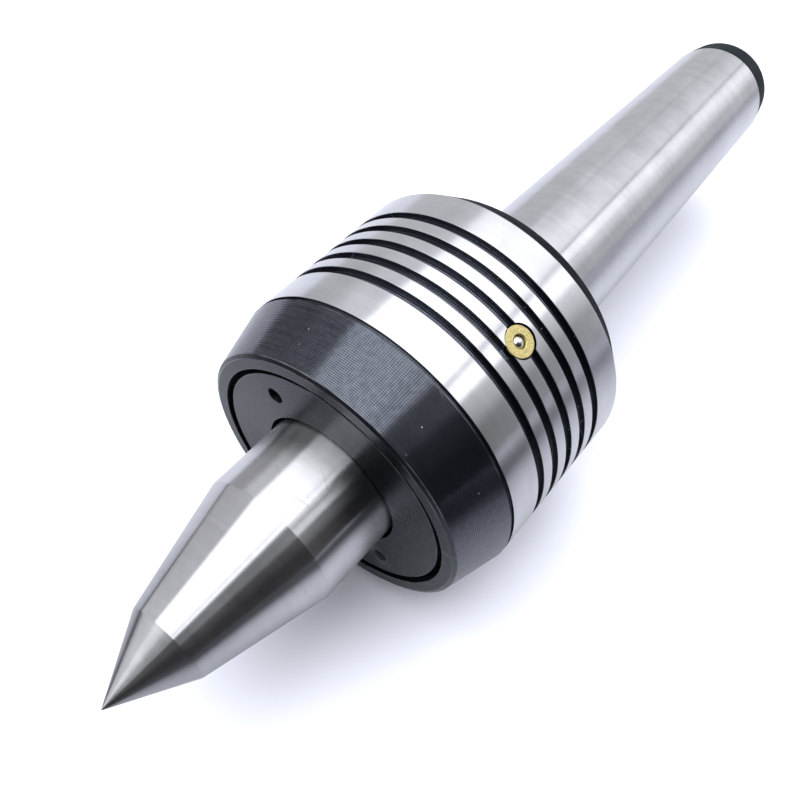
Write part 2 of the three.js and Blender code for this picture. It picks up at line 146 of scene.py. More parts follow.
CAMERA_AIM = Vector((-35.419, 1.464, 0)) * MM
CAMERA_AZIMUTH = -51.296  # of its view direction, from +Y towards +X is negative
CAMERA_ELEVATION = 53.107
CAMERA_DISTANCE = 167.930 * MM
CAMERA_LENS = 38.39


def add_camera():
    """Looks down at the nose from the point's side, close enough for a strong perspective."""
    azimuth = math.radians(CAMERA_AZIMUTH)
    elevation = math.radians(CAMERA_ELEVATION)
    level = math.cos(elevation)
    view = Vector((-math.sin(azimuth) * level, math.cos(azimuth) * level, -math.sin(elevation)))
    camera = add_object("camera", bpy.data.cameras.new("camera"))
    camera.location = CAMERA_AIM - view * CAMERA_DISTANCE
    camera.rotation_euler = view.to_track_quat("-Z", "Y").to_euler()
    camera.data.lens = CAMERA_LENS
    camera.data.sensor_width = 36
    camera.data.clip_start = 0.01
    bpy.context.scene.camera = camera


# ---- node helpers


def node(tree, kind, inputs=None, **settings):
    """Adds a node; inputs maps a socket's name or number to a value or to another node's output."""
    made = tree.nodes.new(kind)
    for name, value in settings.items():
        setattr(made, name, value)
    fill(tree, made, inputs or {})
    return made


def fill(tree, made, inputs):
    """Links each input to another node's output, or sets it to a value."""
    for key, value in inputs.items():
        if isinstance(value, bpy.types.NodeSocket):
            tree.links.new(value, made.inputs[key])
        else:
            made.inputs[key].default_value = value


def maths(tree, operation, *values):
    return node(tree, "ShaderNodeMath", dict(enumerate(values)), operation=operation).outputs[0]


def product(tree, *values):
    total = values[0]
    for value in values[1:]:
        total = maths(tree, "MULTIPLY", total, value)
    return total


def remap(tree, value, low, high, to_low=0.0, to_high=1.0, smooth=False):
    """Maps value from low..high to to_low..to_high, and stops at both ends."""
    kind = "SMOOTHSTEP" if smooth else "LINEAR"
    inputs = {"Value": value, "From Min": low, "From Max": high, "To Min": to_low, "To Max": to_high}
    return node(tree, "ShaderNodeMapRange", inputs, interpolation_type=kind).outputs[0]


def blend(tree, share, first, second):
    """A colour between two colours."""
    made = node(tree, "ShaderNodeMix", {0: share, 6: first, 7: second}, data_type="RGBA")
    return made.outputs[2]


def noise(tree, vector, scale, detail=2.0, roughness=0.5):
    inputs = {"Vector": vector, "Scale": scale, "Detail": detail, "Roughness": roughness}
    return node(tree, "ShaderNodeTexNoise", inputs).outputs["Fac"]


RADIUS_SHARE = 1.37  # x plus this times the radius counts the way along any outline


class Turning:
    """Coordinates for marks that a lathe or grinder leaves: rings round the X axis."""

    def __init__(self, tree):
        self.tree = tree
        self.place = node(tree, "ShaderNodeTexCoord").outputs["Object"]
        parts = node(tree, "ShaderNodeSeparateXYZ", {0: self.place})
        self.x, self.y, self.z = parts.outputs
        squares = [product(tree, part, part) for part in (self.y, self.z)]
        self.r = maths(tree, "SQRT", maths(tree, "ADD", *squares))
        self.along = maths(tree, "MULTIPLY_ADD", self.r, RADIUS_SHARE, self.x)

    def rings(self, per_mm, drift):
        """Noise with per_mm features along the outline that changes slowly round the axis."""
        scaled = [product(self.tree, self.along, per_mm / MM)]
        scaled += [product(self.tree, part, drift / MM) for part in (self.y, self.z)]
        vector = node(self.tree, "ShaderNodeCombineXYZ", dict(enumerate(scaled))).outputs[0]
        return noise(self.tree, vector, 1.0)

    def cloud(self, size_mm, detail=3.0, roughness=0.5):
        return noise(self.tree, self.place, 1 / (size_mm * MM), detail, roughness)

    def specks(self, apart_mm, radius_mm, share):
        """1 inside small round specks, in that share of the cells of a random pattern, and 0 elsewhere."""
        cells = node(self.tree, "ShaderNodeTexVoronoi", {"Vector": self.place, "Scale": 1 / (apart_mm * MM)})
        size = radius_mm / apart_mm
        inside = remap(self.tree, cells.outputs["Distance"], size, 0.6 * size)
        chance = node(self.tree, "ShaderNodeSeparateColor", {0: cells.outputs["Color"]}).outputs[0]
        return product(self.tree, inside, maths(self.tree, "LESS_THAN", chance, share))

    def hairlines(self, size_mm, width):
        """1 on a few thin wandering lines and 0 elsewhere."""
        wander = maths(self.tree, "SUBTRACT", self.cloud(size_mm, detail=1.0), 0.5)
        line = remap(self.tree, maths(self.tree, "ABSOLUTE", wander), 0.5 * width, width, 1, 0)
        return product(self.tree, line, remap(self.tree, self.cloud(0.6 * size_mm), 0.58, 0.64))

    def weave(self, pitch_mm, waves):
        """Ridges pitch_mm apart along the outline, and the same beaded by waves round the axis."""
        per_metre = 2 * math.pi / (pitch_mm * MM)
        ridge = maths(self.tree, "SINE", product(self.tree, self.along, per_metre))
        angle = maths(self.tree, "ARCTAN2", self.y, self.z)
        bead = maths(self.tree, "SINE", product(self.tree, angle, waves))
        both = maths(self.tree, "MULTIPLY_ADD", bead, 0.4, product(self.tree, ridge, 0.6))
        return ridge, maths(self.tree, "MULTIPLY_ADD", both, 0.5, 0.5)

    def tangent(self):
        return node(self.tree, "ShaderNodeTangent", direction_type="RADIAL", axis="X").outputs[0]


def bump(tree, height, depth_um, normal=None):
    inputs = {"Strength": 1.0, "Distance": depth_um * 1e-6, "Height": height}
    if normal is not None:
        inputs["Normal"] = normal
    return node(tree, "ShaderNodeBump", inputs).outputs[0]


def material(name):
    """A new node material; returns it, its tree, its shader and its marks' coordinates."""
    made = bpy.data.materials.new(name)
    made.use_nodes = True
    tree = made.node_tree
    return made, tree, tree.nodes["Principled BSDF"], Turning(tree)


def set_shader(tree, shader, **inputs):
    """Fills the shader's inputs; an underscore stands for the space in a name."""
    fill(tree, shader, {name.replace("_", " "): value for name, value in inputs.items()})


# ---- materials

ACROSS_THE_MARKS = 0.25  # a quarter turn: ring marks spread light along the axis
TOOL_FEED = 0.48  # millimetres between the turning tool's marks on the black surfaces
CHATTER = 420  # tiny waves that the tool left in each turn
OXIDE_SHEEN = ((0.19, 0.21, 0.32, 1), (0.82, 0.89, 1, 1))  # in the marks' valleys and on their ridges
BARE_STEEL = (0.42, 0.43, 0.46, 1)
SCRATCHED_STEEL = (0.25, 0.25, 0.27, 1)


def ground_steel(name, low, high, gloss, spread):
    """Bright steel, cylindrically ground: fine rings, faint bands, handling smudges and a few hairlines."""
    made, tree, shader, turning = material(name)
    fine = turning.rings(5.0, 0.03)
    band = turning.rings(0.55, 0.01)
    smudge = turning.cloud(9.0, detail=6.0, roughness=0.62)
    tone = maths(tree, "MULTIPLY_ADD", smudge, 0.75, product(tree, band, 0.25))
    clean = blend(tree, remap(tree, tone, 0.35, 0.65), low, high)
    scratch = turning.hairlines(20.0, 0.0022)
    colour = blend(tree, product(tree, scratch, 0.35), clean, SCRATCHED_STEEL)
    rough = maths(tree, "MULTIPLY_ADD", fine, 0.05, remap(tree, smudge, 0.3, 0.7, gloss, gloss + 0.03))
    normal = bump(tree, turning.rings(7.0, 0.04), 1.6, bump(tree, band, 1.0))
    set_shader(tree, shader, Metallic=1.0, Base_Color=colour, Roughness=rough, Normal=normal,
               Anisotropic=spread, Anisotropic_Rotation=ACROSS_THE_MARKS, Tangent=turning.tangent())
    return made


def black_oxide(name, ior, low, high, marks_um, gloss):
    """Blackened turned steel: tool marks, dust, hairlines, and bare metal on convex edges, partly scuffing
    and partly a painted edge highlight.
    """
    made, tree, shader, turning = material(name)
    feed, weave = turning.weave(TOOL_FEED, CHATTER)
    tear = turning.rings(3.0, 0.08)
    marks = maths(tree, "MULTIPLY_ADD", feed, 0.25, product(tree, tear, 0.6))
    uneven = maths(tree, "MULTIPLY_ADD", maths(tree, "SUBTRACT", turning.cloud(0.9), 0.5), 0.7, weave)
    tint = blend(tree, uneven, *OXIDE_SHEEN)
    patch = turning.cloud(6.0)
    # bare metal in patches on convex edges: partly scuffing, partly a painted edge highlight
    worn_and_highlit = node(tree, "ShaderNodeAttribute", attribute_name="wear").outputs["Fac"]
    rubbed_and_highlit = product(tree, worn_and_highlit, remap(tree, patch, 0.42, 0.62, 0.05, 0.35))
    dust = product(tree, turning.specks(1.5, 0.13, 0.15), 0.9)
    scratch = product(tree, turning.hairlines(16.0, 0.003), 0.25)
    bare = maths(tree, "MAXIMUM", rubbed_and_highlit, maths(tree, "MAXIMUM", dust, scratch))
    dark = blend(tree, marks, low, high)
    colour = blend(tree, bare, dark, BARE_STEEL)
    rough = maths(tree, "MULTIPLY_ADD", tear, 0.1, remap(tree, patch, 0.3, 0.7, gloss, gloss + 0.07))
    set_shader(tree, shader, IOR=ior, Base_Color=colour, Roughness=rough, Specular_Tint=tint,
               Anisotropic=0.65, Anisotropic_Rotation=ACROSS_THE_MARKS, Tangent=turning.tangent(),
               Normal=bump(tree, marks, marks_um))
    return made


def bearing_steel():
    made, tree, shader, turning = material("bearing_steel")
    haze = turning.cloud(2.5)
    rough = remap(tree, haze, 0.3, 0.7, 0.06, 0.14)
    set_shader(tree, shader, Metallic=1.0, Base_Color=blend(tree, haze, *POLISHED), Roughness=rough,
               Normal=bump(tree, turning.rings(6.0, 0.05), 0.5))
    return made


def sheet_steel(name, low, high, roughness):
    """Pressed or spring steel, with the faint mottle of rolled sheet."""
    made, tree, shader, turning = material(name)
    mottle = turning.cloud(1.2, detail=4.0)
    rough = remap(tree, mottle, 0.3, 0.7, roughness - 0.06, roughness + 0.08)
    set_shader(tree, shader, Metallic=1.0, Base_Color=blend(tree, mottle, low, high), Roughness=rough,
               Normal=bump(tree, mottle, 3.0))
    return made


def brass():
    """Dull pressed brass: tarnish in small blotches over fine scratches."""
    made, tree, shader, turning = material("brass")
    blotch = turning.cloud(0.3, detail=4.0, roughness=0.65)
    tarnished = blend(tree, remap(tree, blotch, 0.42, 0.62), *BRASS)
    rough = remap(tree, blotch, 0.3, 0.7, 0.36, 0.55)
    set_shader(tree, shader, Metallic=1.0, Base_Color=tarnished, Roughness=rough,
               Normal=bump(tree, blotch, 14.0))
    return made


def seal_rubber():
    made, tree, shader, turning = material("seal_rubber")
    grain = turning.cloud(0.3)
    rough = remap(tree, grain, 0.3, 0.7, 0.55, 0.75)
    set_shader(tree, shader, Base_Color=blend(tree, grain, *RUBBER), Roughness=rough,
               Normal=bump(tree, grain, 8.0))
    return made


# Two tones of each, which its material mixes.
BRIGHT = ((0.485, 0.49, 0.515, 1), (0.58, 0.585, 0.615, 1))
HARD_BRIGHT = ((0.50, 0.50, 0.52, 1), (0.62, 0.62, 0.645, 1))
BLACK = ((0.002, 0.0023, 0.0035, 1), (0.005, 0.006, 0.009, 1))
SCALE = ((0.006, 0.010, 0.012, 1), (0.010, 0.016, 0.019, 1))
PLATED = ((0.46, 0.42, 0.34, 1), (0.58, 0.54, 0.45, 1))
SPRING_GREY = ((0.30, 0.31, 0.33, 1), (0.42, 0.44, 0.47, 1))
POLISHED = ((0.66, 0.67, 0.69, 1), (0.76, 0.77, 0.79, 1))
BRASS = ((0.68, 0.59, 0.27, 1), (0.44, 0.37, 0.16, 1))
RUBBER = ((0.010, 0.010, 0.011, 1), (0.022, 0.022, 0.024, 1))

MATERIAL = {
    "ground": ground_steel("ground_steel", *BRIGHT, gloss=0.13, spread=0.8),
    "hardened": ground_steel("hardened_steel", *HARD_BRIGHT, gloss=0.2, spread=1.0),
    "black": black_oxide("black_oxide", 2.35, *BLACK, marks_um=30.0, gloss=0.10),
    "faced": black_oxide("black_oxide_faced", 1.75, *BLACK, marks_um=6.0, gloss=0.2),
    "recess": black_oxide("black_oxide_recess", 1.15, *BLACK, marks_um=4.0, gloss=0.5),
    "scale": black_oxide("dull_oxide", 1.2, *SCALE, marks_um=4.0, gloss=0.4),
    "bearing": bearing_steel(),
    "cage": sheet_steel("cage_steel", *PLATED, roughness=0.35),
    "spring": sheet_steel("spring_steel", *SPRING_GREY, roughness=0.3),
    "brass": brass(),
    "rubber": seal_rubber(),
}

# ---- outlines

SMOOTH_ANGLE = math.radians(50)
CORNER_ANGLE = math.radians(9)  # a sharper turn than this is a corner, a gentler one is part of a curve
EASE_LIMIT = 0.4  # the most of a stretch that one eased corner takes


class Outline:
    """Points with the finish of the stretch that starts at each, and how much bare metal each point shows:
    partly scuffing on convex edges, partly a painted edge highlight.
    """

    def __init__(self, finish, points, closed=False):
        self.points, self.finishes, self.wear, self.threaded = [], [], [], []
        self.closed = closed
        for point in points:
            self.take(point, finish)

    def then(self, finish, points):
        """Goes on from the last point with another finish."""
        self.finishes[-1] = finish
        for point in points:
            self.take(point, finish)

    def stretches(self):
        """Pairs of point numbers, one pair for each stretch."""
        count = len(self.points)
        pairs = [(i, i + 1) for i in range(count - 1)]
        return pairs + [(count - 1, 0)] if self.closed else pairs

    def eased(self, reach=EASE):
        """Breaks every sharp corner with a small curve."""
        made = Outline("", [], self.closed)
        count = len(self.points)
        for i, here in enumerate(self.points):
            before = here - self.points[i - 1]
            after = self.points[(i + 1) % count] - here
            at_end = not self.closed and i in (0, count - 1)
            if at_end or before.angle(after) < CORNER_ANGLE:
                made.take(here, self.finishes[i])
                continue
            cut = min(reach, EASE_LIMIT * before.length, EASE_LIMIT * after.length)
            start = here - before.normalized() * cut
            end = here + after.normalized() * cut
            curve = interpolate_bezier(start, here, here, end, 4)
            # convex corners show bare metal: partly scuffing, partly a painted edge highlight
            convex = before.x * after.y - before.y * after.x < 0
            for step, point in enumerate(curve):
                finish = self.finishes[i - 1] if step < 2 else self.finishes[i]
                made.take(point[:2], finish, 1.0 if convex and step in (1, 2) else 0.0)
        return made

    def take(self, point, finish, wear=0.0):
        self.points.append(Vector(point))
        self.finishes.append(finish)
        self.wear.append(wear)
        self.threaded.append(False)

    def divided(self, low, high, step):
        """Splits the long stretch that spans low..high in x into steps, and marks it as threaded."""
        made = Outline("", [], self.closed)
        for i, j in self.stretches():
            start, end = self.points[i], self.points[j]
            made.take(start, self.finishes[i], self.wear[i])
            if min(start.x, end.x) > low or max(start.x, end.x) < high:
                continue
            made.threaded[-1] = True
            pieces = round((end - start).length / step)
            for k in range(1, pieces):
                made.take(start.lerp(end, k / pieces), self.finishes[i])
                made.threaded[-1] = True
        if not self.closed:
            made.take(self.points[-1], self.finishes[-1], self.wear[-1])
        return made

    def normals(self):
        """For each stretch, the outward normal at its start and at its end."""
        flat = []
        for i, j in self.stretches():
            way = self.points[j] - self.points[i]
            flat.append((Vector((-way.y, way.x)).normalized(), way.length))
        return [(self.shared(flat, k, k - 1), self.shared(flat, k, k + 1)) for k in range(len(flat))]

    def shared(self, flat, k, other):
        """The normal where stretch k meets the other one; the longer stretch decides."""
        if not self.closed and not 0 <= other < len(flat):
            return flat[k][0]
        other %= len(flat)
        if flat[k][0].angle(flat[other][0]) > SMOOTH_ANGLE:
            return flat[k][0]
        mean = flat[k][0] * flat[k][1] ** 2 + flat[other][0] * flat[other][1] ** 2
        return mean.normalized()


def arc(x, r, radius, start, end, steps):
    """Points of an arc about (x, r); angles in degrees, 0 along +X and 90 away from the axis."""
    angles = [math.radians(start + (end - start) * i / steps) for i in range(steps + 1)]
    return [(x + radius * math.cos(a), r + radius * math.sin(a)) for a in angles]


def ring(x0, x1, inner, outer):
    return [(x0, inner), (x0, outer), (x1, outer), (x1, inner)]


# ---- turning an outline into a mesh

AXIS_R = 1e-6  # a point this close to the axis is on it
CUT_FACE = -1  # the stretch number on faces that a cutter left
WALL_TILT = 0.3  # a drill's wall leans less than this towards its axis


def turned(name, outline, around=INNER_ROUND):
    """Turns an outline about X into a piece, with each stretch's number kept on its faces."""
    vertices, faces, stretch, wear, rings = [], [], [], [], []
    for number, point in enumerate(outline.points):
        on_axis = point.y < AXIS_R
        clocks = [0.0] if on_axis else [360 * j / around for j in range(around)]
        rings.append([len(vertices) + j for j in range(len(clocks))])
        for clock in clocks:
            vertices.append((X_WAY * point.x + outward(clock) * point.y) * MM)
            wear.append(outline.wear[number])
    for k, (i, j) in enumerate(outline.stretches()):
        for a in range(around):
            b = (a + 1) % around
            corners = [rings[i][a % len(rings[i])], rings[i][b % len(rings[i])],
                       rings[j][b % len(rings[j])], rings[j][a % len(rings[j])]]
            corners = [c for n, c in enumerate(corners) if c != corners[n - 1]]
            if len(corners) > 2:
                faces.append(corners)
                stretch.append(k)
    mesh = bpy.data.meshes.new(name)
    mesh.from_pydata(vertices, [], faces)
    finish_of = [outline.finishes[i] for i, _ in outline.stretches()]
    finishes = list(dict.fromkeys(finish_of))
    for each in finishes:
        mesh.materials.append(MATERIAL[each])
    mesh.attributes.new("stretch", "INT", "FACE").data.foreach_set("value", stretch)
    mesh.attributes.new("wear", "FLOAT", "POINT").data.foreach_set("value", wear)
    for face, k in zip(mesh.polygons, stretch):
        face.material_index = finishes.index(finish_of[k])
        face.use_smooth = True
    return add_object(name, mesh)


def cut_thread(piece, outline, low, high, depth):
    """Sinks a helical thread into the threaded stretches; depth is positive away from the axis."""
    ends = outline.stretches()
    threaded = set()
    stretch = piece.data.attributes["stretch"].data
    for face in piece.data.polygons:
        if outline.threaded[ends[stretch[face.index].value][0]]:
            threaded.update(face.vertices)
    for index in threaded:
        place = piece.data.vertices[index].co
        clock = math.atan2(-place.y, place.z) / (2 * math.pi)
        turn = place.x / MM / THREAD["pitch"] - clock
        from_end = min(place.x / MM - low, high - place.x / MM)
        ramp = min(1.0, max(0.0, from_end / THREAD["run_out"]))
        rise = abs(2 * (turn % 1.0) - 1)  # 1 on a crest, 0 in a root
        sunk = depth * ramp * min(1.0, max(0.0, THREAD_ROOT[0] - rise * THREAD_ROOT[1]))
        away = Vector((0, place.y, place.z)).normalized()
        place += away * sunk * MM


def subtract(piece, cutter):
    """Cuts one mesh out of a piece, for good."""
    modifier = piece.modifiers.new("cut", "BOOLEAN")
    modifier.operation = "DIFFERENCE"
    modifier.solver = "EXACT"
    modifier.object = cutter
    shape = piece.evaluated_get(bpy.context.evaluated_depsgraph_get())
    mesh = bpy.data.meshes.new_from_object(shape)
    piece.modifiers.clear()
    piece.data = mesh
    bpy.data.objects.remove(cutter)


def joined(name, solids, finish_number=0):
    """One cutter from several closed solids of (vertices, faces) that don't touch."""
    vertices, faces = [], []
    for points, sides in solids:
        faces += [[len(vertices) + i for i in side] for side in sides]
        vertices += [point * MM for point in points]
    mesh = bpy.data.meshes.new(name)
    mesh.from_pydata(vertices, [], faces)
    mesh.attributes.new("stretch", "INT", "FACE").data.foreach_set("value", [CUT_FACE] * len(faces))
    for _ in range(finish_number + 1):
        mesh.materials.append(None)
    for face in mesh.polygons:
        face.material_index = finish_number
        face.use_smooth = True
    return add_object(name, mesh)


def tube_sides(count, around):
    """The faces of a closed tube of count rings, each with that many points round it, and of its ends."""
    sides = [list(range(around))[::-1], list(range((count - 1) * around, count * around))]
    for i in range(count - 1):
        for j in range(around):
            k = (j + 1) % around
            sides.append([i * around + j, i * around + k, (i + 1) * around + k, (i + 1) * around + j])
    return sides


def bent_wire(node_name, rings):
    """A closed piece of spring steel through rings of points."""
    mesh = bpy.data.meshes.new(node_name + "_fine")
    points = [point * MM for section in rings for point in section]
    mesh.from_pydata(points, [], tube_sides(len(rings), len(rings[0])))
    mesh.materials.append(MATERIAL["spring"])
    mesh.shade_smooth()
    return add_object(node_name + "_fine", mesh)


def drill(start, way, stations, around=48):
    """A closed round solid along a way from start; stations are (distance, radius)."""
    way = way.normalized()
    side = way.orthogonal().normalized()
    other = way.cross(side)
    points = []
    for distance, radius in stations:
        for j in range(around):
            angle = 2 * math.pi * j / around
            offset = side * math.cos(angle) + other * math.sin(angle)
            points.append(start + way * distance + offset * radius)
    return points, tube_sides(len(stations), around)


def block(centre, ways):
    """A closed box from its centre and its three half edges."""
    signs = [(a, b, c) for a in (-1, 1) for b in (-1, 1) for c in (-1, 1)]
    points = [centre + ways[0] * a + ways[1] * b + ways[2] * c for a, b, c in signs]
    return points, [[0, 1, 3, 2], [4, 6, 7, 5], [0, 4, 5, 1], [2, 3, 7, 6], [0, 2, 6, 4], [1, 5, 7, 3]]


def shade(piece, outline, drills=()):
    """Gives every face corner its true normal, so that a cut leaves the turned surface smooth."""
    mesh = piece.data
    ends = outline.stretches()
    normals = outline.normals()
    stretch = mesh.attributes["stretch"].data
    plain = [Vector(corner.vector) for corner in mesh.corner_normals]
    found = []
    for face in mesh.polygons:
        k = stretch[face.index].value
        for corner in face.loop_indices:
            place = mesh.vertices[mesh.loops[corner].vertex_index].co / MM
            if k == CUT_FACE:
                found.append(drilled_normal(face, place, drills))
            elif outline.threaded[ends[k][0]]:
                found.append(plain[corner])
            else:
                start, end = (outline.points[i] for i in ends[k])
                found.append(turned_normal(face, place, start, end, normals[k]))
    mesh.normals_split_custom_set(found)


def turned_normal(face, place, start, end, normals):
    away = Vector((0, place.y, place.z))
    here = Vector((place.x, away.length))
    way = end - start
    share = min(1.0, max(0.0, (here - start).dot(way) / way.length_squared))
    flat = normals[0].lerp(normals[1], share).normalized()
    if away.length < AXIS_R:
        away = Vector((0, face.center.y, face.center.z))
    return X_WAY * flat.x + away.normalized() * flat.y


def drilled_normal(face, place, drills):
    """Towards the axis of the nearest drill on its wall, and the face's own normal elsewhere."""
    if not drills:
        return face.normal.copy()
    centre = face.center / MM
    start, way = min(drills, key=lambda each: off_axis(centre, *each).length)
    if abs(face.normal.dot(way)) > WALL_TILT:
        return face.normal.copy()
    return -off_axis(place, start, way).normalized()


def off_axis(place, start, way):
    offset = place - start
    return offset - way * offset.dot(way)


def place_piece(piece, body, finish, *nodes):
    """Rides the piece on its body in place of its CAD nodes."""
    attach(piece, body)
    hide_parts(*nodes)


def uncut(node_name, outline, around=INNER_ROUND):
    """A turned piece without cuts, shaded."""
    piece = turned(node_name + "_fine", outline, around)
    shade(piece, outline)
    return piece


def simple(node_name, body, outline, around=INNER_ROUND, reach=SMALL_EASE):
    """An uncut piece with eased corners, on its body."""
    outline = outline.eased(reach)
    place_piece(uncut(node_name, outline, around), body, outline.finishes[0], node_name)


# ---- body with its shank


def taper_r(x):
    return GAUGE_R - TAPER_PER_MM * x


def bore_points():
    return [
        (BORE_TIP, 0), (NEEDLE_BORE_END, NEEDLE_BORE_R), (NEEDLE_SEAT_X, NEEDLE_BORE_R),
        (NEEDLE_SEAT_X, PASSAGE_R), (PASSAGE_X, PASSAGE_R), (PASSAGE_X, THRUST_BORE_R),
        (THRUST_SEAT_X, THRUST_BORE_R), (THRUST_SEAT_X, BEARING_BORE_R), (BEARING_SEAT_X, BEARING_BORE_R),
    ]


def body_outline():
    """From the bottom of the bore out to the face, then along the outside to the centre hole."""
    undercut_end = CONE_END_X + UNDERCUT["width"]
    undercut_r = BODY_R - UNDERCUT["depth"]
    outline = Outline("ground", bore_points())
    outline.then("recess", [(BEARING_SEAT_X, THREAD["bore"]), (FACE_X, THREAD["bore"])])
    outline.then("faced", [(FACE_X, FACE_R), CONE_START])
    outline.then("black", [(CONE_END_X, BODY_R), (CONE_END_X, undercut_r), (undercut_end, undercut_r),
                           (undercut_end, BODY_R)])
    half = GROOVE["width"] / 2
    floor = BODY_R - GROOVE["depth"]
    for i in range(GROOVE["count"]):
        x = GROOVE["first"] + i * GROOVE["pitch"]
        outline.then("ground", [(x - half, BODY_R)])
        outline.then("black", [(x - half, floor), (x + half, floor), (x + half, BODY_R)])
    outline.then("ground", [(SHANK_START - REAR_CHAMFER["length"], BODY_R)])
    outline.then("recess", [(SHANK_START, REAR_CHAMFER["r"])])
    outline.then("scale", [(SHANK_START, taper_r(SHANK_START))])
    outline.then("ground", [(GROUND_END, taper_r(GROUND_END))])
    start = taper_r(GROUND_END) - TAIL_STEP
    band = [(GROUND_END, start), (GROUND_END + TAIL_BAND["length"], start - TAIL_BAND["drop"])]
    radius = TAIL_ROUND["r"]
    rounding = arc(TAIL_X - radius, TAIL_R - TAIL_ROUND["rise"], radius, TAIL_ROUND["start"], 0, 12)
    hole = [(TAIL_X, CENTRE_HOLE["mouth"]), (TAIL_X - CENTRE_HOLE["chamfer"], CENTRE_HOLE["r"]),
            (TAIL_X - CENTRE_HOLE["depth"], 0)]
    outline.then("scale", band + rounding + hole)
    return outline


def body_shank():
    outline = body_outline().eased()
    outline = outline.divided(FACE_X + THREAD_INSET, BEARING_SEAT_X - THREAD_INSET, THREAD["step"])
    piece = turned("body_shank_fine", outline, ROUND)
    cut_thread(piece, outline, FACE_X, BEARING_SEAT_X - 0.1, THREAD["depth"])
    seat, port = BALL_OILER["seat"], OIL_PORT["r"]
    wide = BALL_OILER["hole"]
    stations = [(OIL_PORT["from"], port), (seat, port), (seat, wide), (BODY_R + 5, wide)]
    hole = drill(OILER_FOOT, OILER_WAY, stations, INNER_ROUND)
    black = piece.data.materials.find(MATERIAL["black"].name)
    subtract(piece, joined("oiler_hole", [hole], black))
    shade(piece, outline, [(OILER_FOOT, OILER_WAY)])
    place_piece(piece, "body", "ground", "body_shank")


# ---- cover nut and seal


def cover_nut():
    x0, x1 = COVER["x"], COVER["x"] + COVER["length"]
    gap_end = x0 + COVER["gap"]
    thread_start = gap_end + COVER_GAP["run"]
    outline = Outline("faced", [(x0, COVER["hole"]), (x0, COVER["face"])], closed=True)
    outline.then("recess", [(gap_end, COVER["face"] + COVER_GAP["widening"]), (thread_start, THREAD["crest"]),
                            (x1, THREAD["crest"])])
    lip = x1 - COVER["lip"]
    outline.then("faced", [(x1, COVER["seal"]), (lip, COVER["seal"]), (lip, COVER["hole"])])
    outline = outline.eased().divided(thread_start + THREAD_INSET, x1 - THREAD_INSET, THREAD["step"])
    piece = turned("cover_nut_fine", outline, ROUND)
    cut_thread(piece, outline, x0, x1, -THREAD["depth"])
    depth, r = SPANNER["depth"], SPANNER["r"]
    mouth = r + CHAMFER_WIDTH
    stations = [(-1, mouth), (0, mouth), (CHAMFER_DEPTH, r), (depth - SPANNER["point"], r), (depth, 0.05)]
    holes, drills = [], []
    for clock in SPANNER["clocks"]:
        start = outward(clock) * SPANNER["circle"] + X_WAY * x0
        holes.append(drill(start, X_WAY, stations))
        drills.append((start, X_WAY))
    subtract(piece, joined("spanner_holes", holes))
    shade(piece, outline, drills)
    place_piece(piece, "body", "black", "cover_nut")


def front_seal():
    """A rubber ring whose lip leans in on the nose."""
    x0, x1, outer = SEAL["x"] - SEAL["length"], SEAL["x"], SEAL["r"]
    lip_r = NOSE_R + 0.25
    outline = Outline("rubber", [(x0, 15.3), (x0, outer), (x1, outer), (x1, 16), (x1 - 1.2, 15.6),
                                 (x1 - 1.5, lip_r), (x1 - 2, lip_r)], closed=True)
    simple("front_seal", "body", outline, ROUND)


# ---- spindle and what is on it


def spindle():
    """The point and nose, and the journals behind them with the snap ring's groove."""
    groove_end = THRUST_SEAT_X + RING_GROOVE["width"]
    needle_r, chamfer = NEEDLE_JOURNAL["r"], NEEDLE_JOURNAL["chamfer"]
    outline = Outline("hardened", [
        (TIP_X, 0), (TIP_X + 0.05, 0.12), POINT, (NOSE_START, NOSE_R), (BEARING_SEAT_X, NOSE_R),
        (BEARING_SEAT_X, JOURNAL_R), (THRUST_SEAT_X, JOURNAL_R), (THRUST_SEAT_X, RING_GROOVE["r"]),
        (groove_end, RING_GROOVE["r"]), (groove_end, JOURNAL_R), (WAIST["x"], JOURNAL_R),
        (WAIST["x"], WAIST["r"]), (NEEDLE_JOURNAL["x"], WAIST["r"]), (NEEDLE_JOURNAL["x"], needle_r),
        (SPINDLE_END - chamfer, needle_r), (SPINDLE_END, needle_r - chamfer), (SPINDLE_END, 0),
    ])
    simple("spindle", "spindle", outline, ROUND, 0.12)


def retaining_ring():
    """An open snap ring of flat section, swept round from one side of its gap to the other."""
    x0, x1, inner, outer, gap = -37.7, -36.6, 11.9, 14.3, 18
    section = Outline("spring", ring(x0, x1, inner, outer), closed=True).eased(0.1).points
    steps = 90
    rings = []
    for i in range(steps + 1):
        angle = math.radians(gap + (360 - 2 * gap) * i / steps)
        way = Vector((0, math.sin(angle), -math.cos(angle)))
        rings.append([X_WAY * point.x + way * point.y for point in section])
    piece = bent_wire("retaining_ring", rings)
    piece.data.set_sharp_from_angle(angle=SMOOTH_ANGLE)
    place_piece(piece, "spindle", "spring", "retaining_ring")


def spacer_sleeve():
    """A sleeve that reaches over the snap ring, from the front bearing to the thrust bearing."""
    x0, x1, step, wide, outer = THRUST_SEAT_X, -31.8, -36, 14.7, FRONT["inner_land"]
    points = [(x0, wide), (x0, outer), (x1, outer), (x1, RACE_BORE), (step, RACE_BORE), (step, wide)]
    outline = Outline("bearing", points, closed=True)
    simple("spacer_sleeve", "spindle", outline)


# ---- rolling bearings

